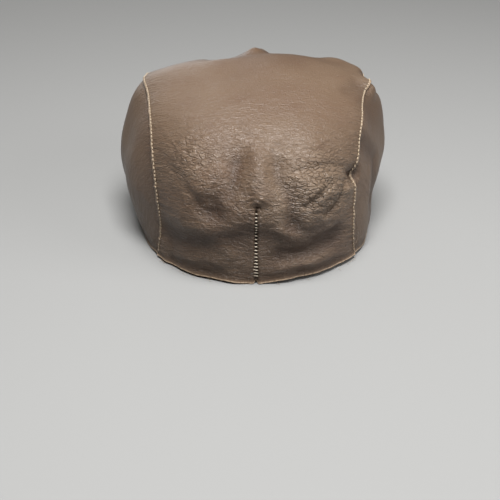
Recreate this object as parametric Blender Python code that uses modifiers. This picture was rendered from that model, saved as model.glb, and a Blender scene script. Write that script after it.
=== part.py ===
"""Soft brown leather flat cap: three leather panels lapped and topstitched, a sewn back dart, a stiffened
visor, a sweatband and a three-piece lining. Metres, +Z up. The visor points along -Y, the back dart along +Y
and the wearer's left side along +X. The origin is the centre of the head opening, in the plane of the rim.
"""

import math

import bmesh
import bpy
from mathutils import Vector

# Overall sizes. The outlines below are shares of these.
RIM_HALF_WIDTH = 0.092
RIM_HALF_LENGTH = 0.101
CROWN_HEIGHT = 0.132
VISOR_REACH = 0.055

# Walls, laps and clearances.
LEATHER = 0.0011
LINING_CLOTH = 0.0003
GAP = 0.0003
LAP_GAP = 0.0005
HEM = 0.003
LAP = 0.006
THREAD = 0.0006

# The back dart.
DART_HEIGHT = 0.068
DART_SLIT = 0.0010
DART_STITCHES = 20
DART_STITCH_WIDTH = 0.0030
TAPE_WIDTH = 0.014
TAPE_CLOTH = 0.0004

# The sweatband, the strip that joins its ends, and the size tab.
BAND_HEIGHT = 0.030
BAND_LEATHER = 0.0010
BAND_LIFT = 0.0015
BAND_END_GAP = 0.0008
BAND_STITCH_HEIGHT = 0.0035
JOIN_WIDTH = 0.016
SIZE_TAB_WIDTH = 0.018
SIZE_TAB_FOOT = 0.016
SIZE_TAB_TOP = 0.044

# The visor.
VISOR_LEATHER = 0.0008
VISOR_BOARD = 0.0016
VISOR_MID_TOP = 0.0185
VISOR_END_TOP = 0.0066
VISOR_DROOP = 0.009
VISOR_LIP = 0.0035
CROWN_FRONT_SETBACK = 0.021

# Stitch lines, measured in from the edge they hold.
SEAM_STITCH_MARGIN = 0.0022
FRONT_STITCH_MARGIN = 0.003
VISOR_STITCH_MARGIN = 0.0022

# The headband line in plan, and the directions of the four seam corners on it, in degrees from +X.
HEADBAND_POWER = 2.25
BACK_CORNER_ANGLE = 39.5
FRONT_CORNER_ANGLE = -37.8

# The crown's centre line from the back hem over the top to the visor: shares of RIM_HALF_LENGTH and
# CROWN_HEIGHT. Its last point is set by the visor.
CENTRE_LINE = [
    (1.045, 0.200),
    (1.100, 0.430),
    (1.000, 0.680),
    (0.680, 0.865),
    (0.220, 0.968),
    (-0.290, 1.000),
    (-0.740, 0.905),
    (-1.060, 0.650),
    (-1.245, 0.360),
]
# The lining comes down inside the sweatband instead, from the same top.
LINING_CENTRE_LINE = CENTRE_LINE[:6] + [
    (-0.700, 0.880),
    (-0.920, 0.600),
    (-0.990, 0.330),
]
# The left seam between the back corner and the front corner: shares of RIM_HALF_WIDTH, RIM_HALF_LENGTH
# and CROWN_HEIGHT.
SEAM_LINE = [
    (0.795, 0.680, 0.260),
    (0.800, 0.650, 0.530),
    (0.835, 0.475, 0.745),
    (0.895, 0.150, 0.855),
    (0.965, -0.130, 0.885),
    (0.955, -0.400, 0.850),
    (0.920, -0.600, 0.700),
    (0.890, -0.680, 0.450),
    (0.862, -0.660, 0.200),
]
BACK_ARC_POWER = 2.7
FRONT_ARC_POWERS = (2.3, 0.7)
FOOT_FADE = 0.22
SIDE_BULGE = 0.85
SIDE_DROP = 0.75
SIDE_UNDERCUT = 0.5

LEATHER_BROWN = (0.115, 0.060, 0.038, 1.0)
THREAD_TAN = (0.52, 0.38, 0.25, 1.0)
BAND_TAN = (0.30, 0.19, 0.11, 1.0)
LINING_GOLD = (0.16, 0.10, 0.055, 1.0)
TAPE_BLACK = (0.02, 0.018, 0.016, 1.0)
BOARD_GREY = (0.30, 0.28, 0.25, 1.0)
TAB_CREAM = (0.62, 0.58, 0.50, 1.0)


def lerp(a, b, t):
    return a + (b - a) * t


def ease(t):
    """0 to 1, smoothly, as t goes from 0 to 1."""
    t = min(max(t, 0.0), 1.0)
    return t * t * (3 - 2 * t)


def spaced(first, last, count):
    return [lerp(first, last, k / count) for k in range(count + 1)]


def smooth_curve(points):
    """A function of t from 0 to 1 along a smooth curve through the points, spaced by their distances."""
    points = [Vector(p) for p in points]
    stops = [0.0]
    for a, b in zip(points, points[1:]):
        stops.append(stops[-1] + (b - a).length)
    stops = [s / stops[-1] for s in stops]
    inner = range(1, len(points) - 1)
    slopes = [(points[i + 1] - points[i - 1]) / (stops[i + 1] - stops[i - 1]) for i in inner]
    first = (points[1] - points[0]) / stops[1] * 1.5 - slopes[0] * 0.5
    last = (points[-1] - points[-2]) / (1 - stops[-2]) * 1.5 - slopes[-1] * 0.5
    slopes = [first] + slopes + [last]

    def at(t):
        i = max(k for k in range(len(stops) - 1) if stops[k] <= max(t, 0.0))
        span = stops[i + 1] - stops[i]
        s = (t - stops[i]) / span
        from_start = points[i] * (2 * s**3 - 3 * s**2 + 1) + slopes[i] * (span * (s**3 - 2 * s**2 + s))
        from_end = points[i + 1] * (3 * s**2 - 2 * s**3) + slopes[i + 1] * (span * (s**3 - s**2))
        return from_start + from_end

    return at


# ---------------------------------------------------------------- the headband line and the visor's form

def ring_point(angle):
    """The point of the headband line in the direction angle, in degrees from +X."""
    c, s = math.cos(math.radians(angle)), math.sin(math.radians(angle))
    across = abs(c / RIM_HALF_WIDTH) ** HEADBAND_POWER
    along = abs(s / RIM_HALF_LENGTH) ** HEADBAND_POWER
    reach = (across + along) ** (-1 / HEADBAND_POWER)
    return Vector((reach * c, reach * s, 0.0))


def headband(angle, inset=0.0, z=0.0):
    """A point on the headband line, moved inset into the head opening and raised to z."""
    step = 0.01
    along = ring_point(angle + step) - ring_point(angle - step)
    inward = Vector((-along.y, along.x, 0.0)).normalized()
    return ring_point(angle) + inward * inset + Vector((0.0, 0.0, z))


BACK_CORNER = headband(BACK_CORNER_ANGLE, z=HEM)
FRONT_CORNER = headband(FRONT_CORNER_ANGLE, z=HEM)
VISOR_END_SHARE = 0.89
VISOR_END_X = VISOR_END_SHARE * FRONT_CORNER.x
CROWN_FRONT_Y = -RIM_HALF_LENGTH - VISOR_REACH + CROWN_FRONT_SETBACK
SIDE_DEPTH = LEATHER + LAP_GAP
LINING_DEPTH = SIDE_DEPTH + LEATHER + 3 * GAP
BAND_INSET = LINING_DEPTH + LINING_CLOTH + 2 * GAP


def visor_top(x, y):
    """Height of the visor's upper leather: arched across, and drooping towards the tip."""
    arch = 1 - min(abs(x) / VISOR_END_X, 1.0) ** 2
    forward = max(-y - RIM_HALF_LENGTH, 0.0) / VISOR_REACH
    return lerp(VISOR_END_TOP, VISOR_MID_TOP, arch) - VISOR_DROOP * forward**1.4 * arch


# ---------------------------------------------------------------- the crown's form

seam_line = smooth_curve(
    [BACK_CORNER]
    + [(x * RIM_HALF_WIDTH, y * RIM_HALF_LENGTH, z * CROWN_HEIGHT) for x, y, z in SEAM_LINE]
    + [FRONT_CORNER]
)


def bend(a, v):
    """How far the crown has bent from its centre line, 0, to its seam, 1: a rounder bend in front."""
    first, second = FRONT_ARC_POWERS
    return lerp(a**BACK_ARC_POWER, 1 - (1 - a**first) ** second, ease(v))


def crown_front(a):
    """The crown's front edge, lying on the visor: a from 0 at the middle to 1 at the left corner."""
    x = FRONT_CORNER.x * a
    y = lerp(CROWN_FRONT_Y, FRONT_CORNER.y, bend(a, 1.0))
    past_visor = ease((a - VISOR_END_SHARE) / (1 - VISOR_END_SHARE))
    return Vector((x, y, lerp(visor_top(x, y) + GAP + LEATHER / 2, HEM, past_visor)))


def lining_front(a):
    """The lining's front edge: along the headband, just above the visor's rear edge."""
    p = headband(lerp(-90.0, FRONT_CORNER_ANGLE, a))
    past_visor = ease((a - VISOR_END_SHARE) / (1 - VISOR_END_SHARE))
    p.z = lerp(visor_top(p.x, p.y) + 3 * GAP, 2 * HEM, past_visor)
    return p


def dome(centre_shares, front_edge, last_u):
    """The surface over the left half of the cap, between a centre line, the seam line and the headband.
    u runs from 0 on the centre line to 1 on the seam and 2 at the hem; v from 0 at the back to 1 in front.
    last_u is where the surface ends."""
    centre_line = smooth_curve(
        [headband(90.0, z=HEM)]
        + [(0.0, y * RIM_HALF_LENGTH, z * CROWN_HEIGHT) for y, z in centre_shares]
        + [front_edge(0.0)]
    )

    def arc(a, v):
        c, s = centre_line(v), seam_line(v)
        share = bend(a, v)
        return Vector((s.x * a, lerp(c.y, s.y, share), lerp(c.z, s.z, share)))

    def crown(a, v):
        p = arc(a, v)
        back_share = max(1 - v / FOOT_FADE, 0.0) ** 2
        if back_share:
            p += back_share * (headband(lerp(90.0, BACK_CORNER_ANGLE, a), z=HEM) - arc(a, 0.0))
        front_share = max(1 - (1 - v) / FOOT_FADE, 0.0) ** 2
        if front_share:
            p += front_share * (front_edge(a) - arc(a, 1.0))
        return p

    def side(w, v):
        top = crown(1.0, v)
        angle = lerp(BACK_CORNER_ANGLE, FRONT_CORNER_ANGLE, v)
        foot = headband(angle, z=HEM)
        inward = headband(angle, inset=1.0, z=HEM) - foot
        reach = (foot - top).length
        out = (top - crown(0.98, v)).normalized() * (reach * SIDE_BULGE)
        down = (inward * SIDE_UNDERCUT - Vector((0, 0, 1))) * (reach * SIDE_DROP)
        from_top = top * (2 * w**3 - 3 * w**2 + 1) + out * (w**3 - 2 * w**2 + w)
        return from_top + foot * (3 * w**2 - 2 * w**3) + down * (w**3 - w**2)

    def half(a, v):
        return crown(a, v) if a <= 1 else side(a - 1, v)

    def point(u, v, depth=0.0):
        """A point depth below the surface. A negative u is the same point on the right half."""
        a = abs(u)
        p = half(a, v)
        if depth:
            step = 0.004
            a_in = min(a, last_u - 2 * step)
            v_in = min(max(v, 2 * step), 1 - 2 * step)
            across = half(a_in + step, v_in) - half(max(a_in - step, 0.0), v_in)
            along = half(a_in, v_in + step) - half(a_in, v_in - step)
            outward = along.cross(across)
            if a < step:
                outward.x = 0.0
            p = p - outward.normalized() * depth
        return Vector((math.copysign(p.x, u), p.y, p.z))

    point.centre_line = centre_line
    return point


shell = dome(CENTRE_LINE, crown_front, 2)
lining_shell = dome(LINING_CENTRE_LINE, lining_front, 1)


def stop_at_height(z):
    """How far along the centre line, from the back hem, the crown reaches height z."""
    low, high = 0.0, 0.4
    for _ in range(30):
        mid = (low + high) / 2
        low, high = (mid, high) if shell.centre_line(mid).z < z else (low, mid)
    return low


# Grid stations shared by every layer, so that their facets stay parallel.
STATIONS = spaced(0.0, 1.0, 26)
SIDE_STATIONS = spaced(1.0, 2.0, 6)
LAP_SHARE = LAP / BACK_CORNER.x
HALF_CROWN = spaced(0.0, 1.0 - LAP_SHARE, 6)
CROWN_STATIONS = [-1.0] + [-u for u in reversed(HALF_CROWN[1:])] + HALF_CROWN + [1.0]
RIM_ROW = -1.0


# ---------------------------------------------------------------- making objects

def material(name, colour, roughness):
    made = bpy.data.materials.new(name)
    made.use_nodes = True
    shader = made.node_tree.nodes["Principled BSDF"]
    shader.inputs["Base Color"].default_value = colour
    shader.inputs["Roughness"].default_value = roughness
    return made


def clear_scene():
    for old in list(bpy.data.objects):
        bpy.data.objects.remove(old)
    for name in ("flat_cap", "cutters"):
        bpy.context.scene.collection.children.link(bpy.data.collections.new(name))


def into(collection, thing):
    for holder in list(thing.users_collection):
        holder.objects.unlink(thing)
    bpy.data.collections[collection].objects.link(thing)


def sheet(name, us, vs, point_at, thickness, finish):
    """A grid laid over point_at(u, v), its own surface facing away from the head, and given a wall inwards."""
    bpy.ops.mesh.primitive_grid_add(x_subdivisions=len(us) - 1, y_subdivisions=len(vs) - 1, size=2)
    made = bpy.context.active_object
    made.name = made.data.name = name
    into("flat_cap", made)
    grid = bmesh.new()
    grid.from_mesh(made.data)
    for vert in grid.verts:
        i = round((vert.co.x + 1) / 2 * (len(us) - 1))
        j = round((vert.co.y + 1) / 2 * (len(vs) - 1))
        vert.co = point_at(us[i], vs[j])
    bmesh.ops.remove_doubles(grid, verts=grid.verts, dist=1e-5)
    grid.normal_update()
    below = Vector((0.0, 0.0, -CROWN_HEIGHT / 2))
    facing = sum(f.normal.dot(f.calc_center_median() - below) * f.calc_area() for f in grid.faces)
    if facing < 0:
        bmesh.ops.reverse_faces(grid, faces=grid.faces)
    grid.to_mesh(made.data)
    grid.free()
    made.data.shade_smooth()
    wall = made.modifiers.new("wall", "SOLIDIFY")
    wall.thickness = thickness
    wall.offset = -1
    made.data.materials.append(finish)
    return made


def thread(name, points, finish):
    """A sewing thread that follows the points."""
    curve = bpy.data.curves.new(name, "CURVE")
    curve.dimensions = "3D"
    curve.bevel_depth = THREAD / 2
    curve.bevel_resolution = 0
    curve.use_fill_caps = True
    line = curve.splines.new("POLY")
    line.points.add(len(points) - 1)
    for slot, p in zip(line.points, points):
        slot.co = (*p, 1.0)
    made = bpy.data.objects.new(name, curve)
    bpy.data.collections["flat_cap"].objects.link(made)
    curve.materials.append(finish)


def dart_slit():
    """The wedge taken out of the crown panel under the dart thread: narrow, and closing towards its top."""
    bpy.ops.mesh.primitive_cube_add(size=1)
    made = bpy.context.active_object
    made.name = made.data.name = "dart_slit"
    into("cutters", made)
    made.hide_render = True
    made.display_type = "WIRE"
    for vert in made.data.vertices:
        upper = vert.co.z > 0
        vert.co.x *= DART_SLIT * (0.4 if upper else 1.0)
        vert.co.y = RIM_HALF_LENGTH + vert.co.y * RIM_HALF_LENGTH * 0.5
        vert.co.z = DART_HEIGHT if upper else -HEM
    return made


# ---------------------------------------------------------------- the pieces

def crown_panel(leather):
    def at(u, v):
        if v == RIM_ROW:
            p = shell(u, 0.0)
            return Vector((p.x, p.y, 0.0))
        return shell(u, v)

    panel = sheet("crown_panel", CROWN_STATIONS, [RIM_ROW] + STATIONS, at, LEATHER, leather)
    trim = panel.modifiers.new("dart", "BOOLEAN")
    trim.operation = "DIFFERENCE"
    trim.object = dart_slit()


def side_panel(name, side, leather):
    """side is 1 on the wearer's left and -1 on the right. The first column runs under the crown panel."""
    def at(u, v):
        if u == RIM_ROW:
            p = shell(side * 2.0, v, SIDE_DEPTH)
            return Vector((p.x, p.y, 0.0))
        return shell(side * u, v, SIDE_DEPTH)

    sheet(name, [1.0 - LAP_SHARE] + SIDE_STATIONS + [RIM_ROW], STATIONS, at, LEATHER, leather)


def seam_thread(name, side, finish):
    above = -(GAP + THREAD / 2)
    points = [shell(side * (1.0 - SEAM_STITCH_MARGIN / seam_line(v).x), v, above) for v in STATIONS[1:-1]]
    thread(name, points, finish)


def dart_thread(finish):
    half_width = DART_STITCH_WIDTH / 2 / BACK_CORNER.x
    stops = spaced(stop_at_height(HEM * 1.5), stop_at_height(DART_HEIGHT), DART_STITCHES * 2)
    points = [shell(half_width * (1 - 2 * (k % 2)), v, -(GAP + THREAD / 2)) for k, v in enumerate(stops)]
    thread("dart_thread", points, finish)


def dart_tape(finish):
    half_width = TAPE_WIDTH / 2 / BACK_CORNER.x
    rows = [stop_at_height(HEM * 1.5)] + [v for v in STATIONS[1:] if v < stop_at_height(DART_HEIGHT)]
    rows.append(stop_at_height(DART_HEIGHT + HEM))

    def under(u, v):
        return shell(u, v, SIDE_DEPTH + GAP)

    sheet("dart_tape", spaced(-half_width, half_width, 2), rows, under, TAPE_CLOTH, finish)


def visor_point(u, v, depth):
    """depth is how far below the visor's top surface. v runs from 0 at the rear edge to 1 where the lip
    begins and 2 at the leading edge, where the upper and lower covers come together."""
    a = abs(u)
    front = crown_front(a * VISOR_END_SHARE)
    out = (front - Vector((0.0, FRONT_CORNER.y * 0.5, front.z))).normalized()
    lead = front + out * (CROWN_FRONT_SETBACK * (1 - a**3))
    end_angle = math.degrees(math.atan2(FRONT_CORNER.y, VISOR_END_X * 1.02)) - 4.5
    rear = headband(lerp(-90.0, end_angle, a), BAND_INSET - 2 * GAP)
    lip = lead - out * VISOR_LIP
    p = rear.lerp(lip, v) if v <= 1 else lip.lerp(lead, v - 1)
    stack = 2 * VISOR_LEATHER + VISOR_BOARD + 2 * GAP
    lowered = lerp(depth, lerp(stack / 2 - VISOR_LEATHER, stack / 2 + GAP, depth / stack), ease(v - 1))
    return Vector((math.copysign(p.x, u), p.y, visor_top(p.x, p.y) - lowered))


def visor(leather, board, finish):
    us = spaced(-1.0, 1.0, 18)
    rows = spaced(0.0, 1.0, 4)
    lower = VISOR_LEATHER + VISOR_BOARD + 2 * GAP
    sheet("visor_top_cover", us, rows + [1.5, 2.0], lambda u, v: visor_point(u, v, 0.0), VISOR_LEATHER, leather)
    sheet("visor_board", us, rows, lambda u, v: visor_point(u, v, VISOR_LEATHER + GAP), VISOR_BOARD, board)
    sheet("visor_bottom_cover", us, rows + [1.5, 2.0], lambda u, v: visor_point(u, v, lower), VISOR_LEATHER, leather)
    exposed = spaced(-0.84, 0.84, 16)
    thread("visor_edge_thread", [visor_point(u, 1.0, -(GAP + THREAD / 2)) for u in exposed], finish)


def crown_front_thread(finish):
    v = 1 - FRONT_STITCH_MARGIN / (2.8 * RIM_HALF_LENGTH)
    us = spaced(-0.86, 0.86, 20)
    thread("crown_front_thread", [shell(u, v, -(GAP + THREAD / 2)) for u in us], finish)


def sweatband(leather, finish):
    end = math.degrees(BAND_END_GAP / 2 / RIM_HALF_LENGTH)
    around = spaced(90.0 + end, 450.0 - end, 56)
    levels = spaced(BAND_LIFT, BAND_LIFT + BAND_HEIGHT, 2)
    sheet("sweatband", around, levels, lambda t, z: headband(t, BAND_INSET, z), BAND_LEATHER, leather)
    inner = BAND_INSET + BAND_LEATHER + GAP
    half = math.degrees(JOIN_WIDTH / 2 / RIM_HALF_LENGTH)
    join = spaced(90.0 - half, 90.0 + half, 4)
    upper = spaced(BAND_LIFT + BAND_STITCH_HEIGHT + THREAD, BAND_LIFT + BAND_HEIGHT - HEM / 2, 1)
    sheet("sweatband_join", join, upper, lambda t, z: headband(t, inner, z), BAND_LEATHER, leather)
    level = BAND_LIFT + BAND_STITCH_HEIGHT - THREAD
    thread("sweatband_thread", [headband(t, inner + THREAD / 2, level) for t in around], finish)


def size_tab(cloth):
    half = math.degrees(SIZE_TAB_WIDTH / 2 / RIM_HALF_LENGTH)
    inset = BAND_INSET - GAP - LINING_CLOTH
    middle = 62.0
    across = spaced(middle - half, middle + half, 4)
    levels = spaced(SIZE_TAB_FOOT, SIZE_TAB_TOP, 2)
    sheet("size_tab", across, levels, lambda t, z: headband(t, inset, z), LINING_CLOTH, cloth)


def lining(cloth):
    split = GAP / BACK_CORNER.x
    first = HEM / (3 * RIM_HALF_LENGTH)
    rows = [first] + STATIONS[1:]

    def under_crown(u, v):
        surface = shell if abs(u) > 1 - LAP_SHARE / 2 and v < 1 else lining_shell
        return surface(u, v, LINING_DEPTH)

    sheet("lining_centre", [split - 1] + CROWN_STATIONS[1:-1] + [1 - split], rows, under_crown, LINING_CLOTH, cloth)
    columns = [1 + split] + SIDE_STATIONS[1:]
    for name, side in (("lining_left", 1), ("lining_right", -1)):
        sheet(name, columns, rows[:-1], lambda u, v: shell(side * u, v, LINING_DEPTH), LINING_CLOTH, cloth)


def main():
    clear_scene()
    leather = material("brown leather", LEATHER_BROWN, 0.5)
    tan = material("tan thread", THREAD_TAN, 0.6)
    tape = material("black tape", TAPE_BLACK, 0.9)
    band = material("tan sweatband leather", BAND_TAN, 0.55)
    crown_panel(leather)
    for word, side in (("left", 1), ("right", -1)):
        side_panel("side_panel_" + word, side, leather)
        seam_thread("seam_thread_" + word, side, tan)
    dart_thread(tan)
    dart_tape(tape)
    visor(leather, material("grey board", BOARD_GREY, 0.8), tan)
    crown_front_thread(tan)
    sweatband(band, tan)
    size_tab(material("cream cloth", TAB_CREAM, 0.8))
    lining(material("bronze satin", LINING_GOLD, 0.35))


main()
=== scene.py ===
"""Looks for a soft brown leather flat cap: creased leather panels with raw lapped edges and a laced back
dart, a covered visor, a sweatband and a satin lining. Metres, +Z up; the visor points along -Y, the dart
along +Y and the wearer's left side along +X, as in the frame that it loads.
"""

import math

import bmesh
import bpy
import numpy as np
from mathutils import Matrix, Vector, noise


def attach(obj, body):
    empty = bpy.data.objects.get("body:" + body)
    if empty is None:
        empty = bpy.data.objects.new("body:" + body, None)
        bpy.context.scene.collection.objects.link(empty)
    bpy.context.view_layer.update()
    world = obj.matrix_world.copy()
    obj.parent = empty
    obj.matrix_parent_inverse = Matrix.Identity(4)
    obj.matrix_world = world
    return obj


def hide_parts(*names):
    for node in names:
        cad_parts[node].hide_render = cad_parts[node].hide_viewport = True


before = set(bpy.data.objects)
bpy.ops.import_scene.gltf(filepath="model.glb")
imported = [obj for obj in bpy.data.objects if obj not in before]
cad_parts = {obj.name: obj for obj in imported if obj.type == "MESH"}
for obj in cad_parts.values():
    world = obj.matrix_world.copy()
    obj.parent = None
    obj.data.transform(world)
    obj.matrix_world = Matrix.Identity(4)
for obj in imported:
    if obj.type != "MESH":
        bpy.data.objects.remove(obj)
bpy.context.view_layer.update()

# ---------------------------------------------------------------- sizes shared with the CAD model

RIM_HALF_WIDTH = 0.092
RIM_HALF_LENGTH = 0.101
CROWN_HEIGHT = 0.132
VISOR_REACH = 0.055
LEATHER = 0.0011
LINING_CLOTH = 0.0003
TAPE_WIDTH = 0.014
GAP = 0.0003
LAP_GAP = 0.0005
HEM = 0.003
LAP = 0.006
DART_HEIGHT = 0.068
BAND_HEIGHT = 0.030
BAND_LEATHER = 0.0010
BAND_LIFT = 0.0015
VISOR_LEATHER = 0.0008
VISOR_BOARD = 0.0016
VISOR_MID_TOP = 0.0185
VISOR_END_TOP = 0.0066
VISOR_DROOP = 0.009
VISOR_LIP = 0.0035
CROWN_FRONT_SETBACK = 0.021
HEADBAND_POWER = 2.25
BACK_CORNER_ANGLE = 39.5
FRONT_CORNER_ANGLE = -37.8
BACK_ARC_POWER = 2.7
FRONT_ARC_POWERS = (2.3, 0.7)
FOOT_FADE = 0.22
SIDE_BULGE = 0.85
SIDE_DROP = 0.75
SIDE_UNDERCUT = 0.5
VISOR_END_SHARE = 0.89

# Shares of RIM_HALF_LENGTH and CROWN_HEIGHT.
CENTRE_LINE = [
    (1.045, 0.200),
    (1.100, 0.430),
    (1.000, 0.680),
    (0.680, 0.865),
    (0.220, 0.968),
    (-0.290, 1.000),
    (-0.740, 0.905),
    (-1.060, 0.650),
    (-1.245, 0.360),
]
LINING_CENTRE_LINE = CENTRE_LINE[:6] + [
    (-0.700, 0.880),
    (-0.920, 0.600),
    (-0.990, 0.330),
]
# Shares of RIM_HALF_WIDTH, RIM_HALF_LENGTH and CROWN_HEIGHT.
SEAM_LINE = [
    (0.795, 0.680, 0.260),
    (0.800, 0.650, 0.530),
    (0.835, 0.475, 0.745),
    (0.895, 0.150, 0.855),
    (0.965, -0.130, 0.885),
    (0.955, -0.400, 0.850),
    (0.920, -0.600, 0.700),
    (0.890, -0.680, 0.450),
    (0.862, -0.660, 0.200),
]


def lerp(a, b, t):
    return a + (b - a) * t


def ease(t):
    """0 to 1, smoothly, as t goes from 0 to 1."""
    t = np.clip(t, 0.0, 1.0)
    return t * t * (3 - 2 * t)


def unit(vectors):
    """The same vectors, each one long."""
    return vectors / np.maximum(np.linalg.norm(vectors, axis=-1, keepdims=True), 1e-12)


def xyz(x, y, z):
    """Points from three arrays or numbers."""
    parts = [np.asarray(part, float) for part in (x, y, z)]
    return np.stack(np.broadcast_arrays(*parts), axis=-1)


def smooth_curve(points):
    """A function of t from 0 to 1 along a smooth curve through the points, spaced by their distances."""
    points = np.array(points, float)
    stops = np.concatenate(([0.0], np.cumsum(np.linalg.norm(np.diff(points, axis=0), axis=1))))
    length = stops[-1]
    stops = stops / length
    slopes = np.empty_like(points)
    slopes[1:-1] = (points[2:] - points[:-2]) / (stops[2:] - stops[:-2])[:, None]
    slopes[0] = (points[1] - points[0]) / stops[1] * 1.5 - slopes[1] * 0.5
    slopes[-1] = (points[-1] - points[-2]) / (1 - stops[-2]) * 1.5 - slopes[-2] * 0.5

    def at(t):
        t = np.asarray(t, float)
        i = np.clip(np.searchsorted(stops, t, side="right") - 1, 0, len(stops) - 2)
        span = stops[i + 1] - stops[i]
        s = ((t - stops[i]) / span)[..., None]
        span = span[..., None]
        from_start = points[i] * (2 * s**3 - 3 * s**2 + 1) + slopes[i] * (span * (s**3 - 2 * s**2 + s))
        return from_start + points[i + 1] * (3 * s**2 - 2 * s**3) + slopes[i + 1] * (span * (s**3 - s**2))

    at.length = length
    return at


# ---------------------------------------------------------------- the cap's smooth form, as in the CAD model

def ring_point(angle):
    """The headband line's point in the direction angle, in degrees from +X."""
    c, s = np.cos(np.radians(angle)), np.sin(np.radians(angle))
    across = np.abs(c / RIM_HALF_WIDTH) ** HEADBAND_POWER
    along = np.abs(s / RIM_HALF_LENGTH) ** HEADBAND_POWER
    reach = (across + along) ** (-1 / HEADBAND_POWER)
    return xyz(reach * c, reach * s, 0.0)


def headband(angle, inset=0.0, z=0.0):
    """A point on the headband line, moved inset into the head opening and raised to z."""
    angle = np.asarray(angle, float)
    along = unit(ring_point(angle + 0.01) - ring_point(angle - 0.01))
    inward = xyz(-along[..., 1], along[..., 0], 0.0)
    return ring_point(angle) + inward * np.asarray(inset)[..., None] + xyz(0.0, 0.0, z)


BACK_CORNER = headband(BACK_CORNER_ANGLE, z=HEM)
FRONT_CORNER = headband(FRONT_CORNER_ANGLE, z=HEM)
VISOR_END_X = VISOR_END_SHARE * FRONT_CORNER[0]
CROWN_FRONT_Y = -RIM_HALF_LENGTH - VISOR_REACH + CROWN_FRONT_SETBACK
SIDE_DEPTH = LEATHER + LAP_GAP
LINING_DEPTH = SIDE_DEPTH + LEATHER + 3 * GAP
BAND_INSET = LINING_DEPTH + LINING_CLOTH + 2 * GAP
LAP_SHARE = LAP / BACK_CORNER[0]


def visor_top(x, y):
    """Height of the visor's upper leather: arched across, and drooping towards the tip."""
    arch = 1 - np.minimum(np.abs(x) / VISOR_END_X, 1.0) ** 2
    forward = np.maximum(-y - RIM_HALF_LENGTH, 0.0) / VISOR_REACH
    return lerp(VISOR_END_TOP, VISOR_MID_TOP, arch) - VISOR_DROOP * forward**1.4 * arch


seam_line = smooth_curve(
    [BACK_CORNER]
    + [(x * RIM_HALF_WIDTH, y * RIM_HALF_LENGTH, z * CROWN_HEIGHT) for x, y, z in SEAM_LINE]
    + [FRONT_CORNER]
)


def bend(a, v):
    """How far the crown has bent from its centre line, 0, to its seam, 1: a rounder bend in front."""
    first, second = FRONT_ARC_POWERS
    return lerp(a**BACK_ARC_POWER, 1 - (1 - a**first) ** second, ease(v))


def crown_front(a):
    """The crown's front edge, lying on the visor: a from 0 at the middle to 1 at the left corner."""
    x = FRONT_CORNER[0] * a
    y = lerp(CROWN_FRONT_Y, FRONT_CORNER[1], bend(a, 1.0))
    past_visor = ease((a - VISOR_END_SHARE) / (1 - VISOR_END_SHARE))
    return xyz(x, y, lerp(visor_top(x, y) + GAP + LEATHER / 2, HEM, past_visor))


def lining_front(a):
    """The lining's front edge: along the headband, just above the visor's rear edge."""
    p = headband(lerp(-90.0, FRONT_CORNER_ANGLE, a))
    past_visor = ease((a - VISOR_END_SHARE) / (1 - VISOR_END_SHARE))
    p[..., 2] = lerp(visor_top(p[..., 0], p[..., 1]) + 3 * GAP, 2 * HEM, past_visor)
    return p


class Dome:
    """The surface over the cap between a centre line, the seam lines and the headband. u runs from 0 on the
    centre line to 1 on the left seam and 2 at the left hem, and is negative on the right; v runs from 0 at
    the back to 1 in front."""

    def __init__(self, centre_shares, front_edge, last_u):
        self.front_edge = front_edge
        self.last_u = last_u
        self.centre_line = smooth_curve(
            [headband(90.0, z=HEM)]
            + [(0.0, y * RIM_HALF_LENGTH, z * CROWN_HEIGHT) for y, z in centre_shares]
            + [front_edge(np.array(0.0))]
        )

    def arc(self, a, v):
        c, s = self.centre_line(v), seam_line(v)
        share = bend(a, v)
        return xyz(s[..., 0] * a, lerp(c[..., 1], s[..., 1], share), lerp(c[..., 2], s[..., 2], share))

    def crown(self, a, v):
        zero, one = np.zeros_like(v), np.ones_like(v)
        back_share = (np.maximum(1 - v / FOOT_FADE, 0.0) ** 2)[..., None]
        front_share = (np.maximum(1 - (1 - v) / FOOT_FADE, 0.0) ** 2)[..., None]
        back = headband(lerp(90.0, BACK_CORNER_ANGLE, a), z=HEM) - self.arc(a, zero)
        front = self.front_edge(a) - self.arc(a, one)
        return self.arc(a, v) + back_share * back + front_share * front

    def side(self, w, v):
        one = np.ones_like(v)
        top = self.crown(one, v)
        angle = lerp(BACK_CORNER_ANGLE, FRONT_CORNER_ANGLE, v)
        foot = headband(angle, z=HEM)
        inward = headband(angle, np.ones_like(v), HEM) - foot
        reach = np.linalg.norm(foot - top, axis=-1, keepdims=True)
        out = unit(top - self.crown(one * 0.98, v)) * (reach * SIDE_BULGE)
        down = (inward * SIDE_UNDERCUT - xyz(0.0, 0.0, 1.0)) * (reach * SIDE_DROP)
        w = w[..., None]
        from_top = top * (2 * w**3 - 3 * w**2 + 1) + out * (w**3 - 2 * w**2 + w)
        return from_top + foot * (3 * w**2 - 2 * w**3) + down * (w**3 - w**2)

    def half(self, a, v):
        on_crown = self.crown(np.minimum(a, 1.0), v)
        if np.all(a <= 1.0):
            return on_crown
        return np.where((a > 1.0)[..., None], self.side(np.maximum(a - 1.0, 0.0), v), on_crown)

    def surface(self, u, v):
        """Points and outward normals."""
        u, v = np.broadcast_arrays(np.asarray(u, float), np.asarray(v, float))
        a, step = np.abs(u), 0.004
        a_in = np.clip(a, 0.0, self.last_u - 2 * step)
        v_in = np.clip(v, 2 * step, 1 - 2 * step)
        across = self.half(a_in + step, v_in) - self.half(np.maximum(a_in - step, 0.0), v_in)
        along = self.half(a_in, v_in + step) - self.half(a_in, v_in - step)
        normals = np.cross(along, across)
        normals[..., 0] *= ease(a / step)
        points = self.half(a, v)
        flip = np.where(u < 0, -1.0, 1.0)
        points[..., 0] *= flip
        normals[..., 0] *= flip
        return points, unit(normals)


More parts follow.
